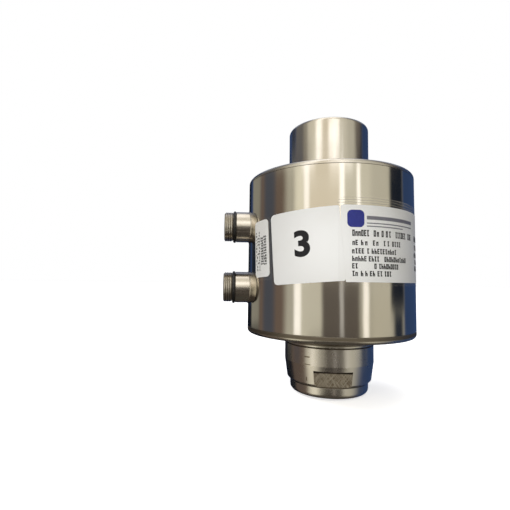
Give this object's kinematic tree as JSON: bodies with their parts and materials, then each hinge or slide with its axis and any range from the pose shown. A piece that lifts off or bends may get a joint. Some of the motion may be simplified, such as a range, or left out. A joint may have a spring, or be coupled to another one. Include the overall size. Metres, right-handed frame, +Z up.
{
  "type": "strain gauge load cell",
  "caption": "Upright self-aligning column load cell with crowned ends, welded round can, flats on the foot and two round threaded connectors.",
  "frame": {"origin": "point of the crowned foot that touches the floor, on the column's axis", "axes": "+Z up the column, -X along the two connectors, the big labels face -Y"},
  "size_m": [0.1062, 0.0924, 0.15],
  "materials": {
    "column_steel": "turned and polished stainless steel",
    "can_steel": "polished stainless steel",
    "connector_steel": "turned stainless steel",
    "insert_plastic": "black moulded insulator",
    "contact_gold": "gold plated",
    "seal_rubber": "black nitrile",
    "label_white": "printed white polyester label",
    "film_clear": "clear self-adhesive film",
    "board_laminate": "green solder mask on glass fibre laminate",
    "chip_plastic": "black moulded packages with tinned legs",
    "crystal_case": "drawn metal can",
    "capacitor_can": "aluminium cans",
    "resistor_body": "coated ceramic chips",
    "terminal_plastic": "natural coloured plastic",
    "standoff_brass": "turned brass",
    "screw_steel": "zinc plated steel",
    "wire_sheath": "light grey insulation",
    "gauge_foil": "etched constantan foil on brown backing",
    "strip_laminate": "copper pads on laminate"
  },
  "bodies": {
    "root": {"load_column": "column_steel", "lower_cover": "can_steel", "housing_tube": "can_steel", "upper_cover": "can_steel", "number_label": "label_white", "data_label": "label_white", "side_label": "label_white", "data_film": "film_clear", "side_film": "film_clear", "circuit_board": "board_laminate", "board_standoffs": "standoff_brass", "board_screws": "screw_steel", "converter_chip": "chip_plastic", "processor_chip": "chip_plastic", "transceiver_chip": "chip_plastic", "crystal": "crystal_case", "capacitors": "capacitor_can", "trim_resistors": "resistor_body", "bridge_wires": "wire_sheath", "lower_connector_shell": "connector_steel", "lower_contact_insert": "insert_plastic", "lower_contacts": "contact_gold", "lower_oring": "seal_rubber", "lower_terminal_block": "terminal_plastic", "lower_connector_leads": "wire_sheath", "upper_connector_shell": "connector_steel", "upper_contact_insert": "insert_plastic", "upper_contacts": "contact_gold", "upper_oring": "seal_rubber", "upper_terminal_block": "terminal_plastic", "upper_connector_leads": "wire_sheath", "strain_gauge_left": "gauge_foil", "terminal_strip_left": "strip_laminate", "strain_gauge_front": "gauge_foil", "terminal_strip_front": "strip_laminate", "strain_gauge_right": "gauge_foil", "terminal_strip_right": "strip_laminate", "strain_gauge_rear": "gauge_foil", "terminal_strip_rear": "strip_laminate"}
  },
  "joints": []
}
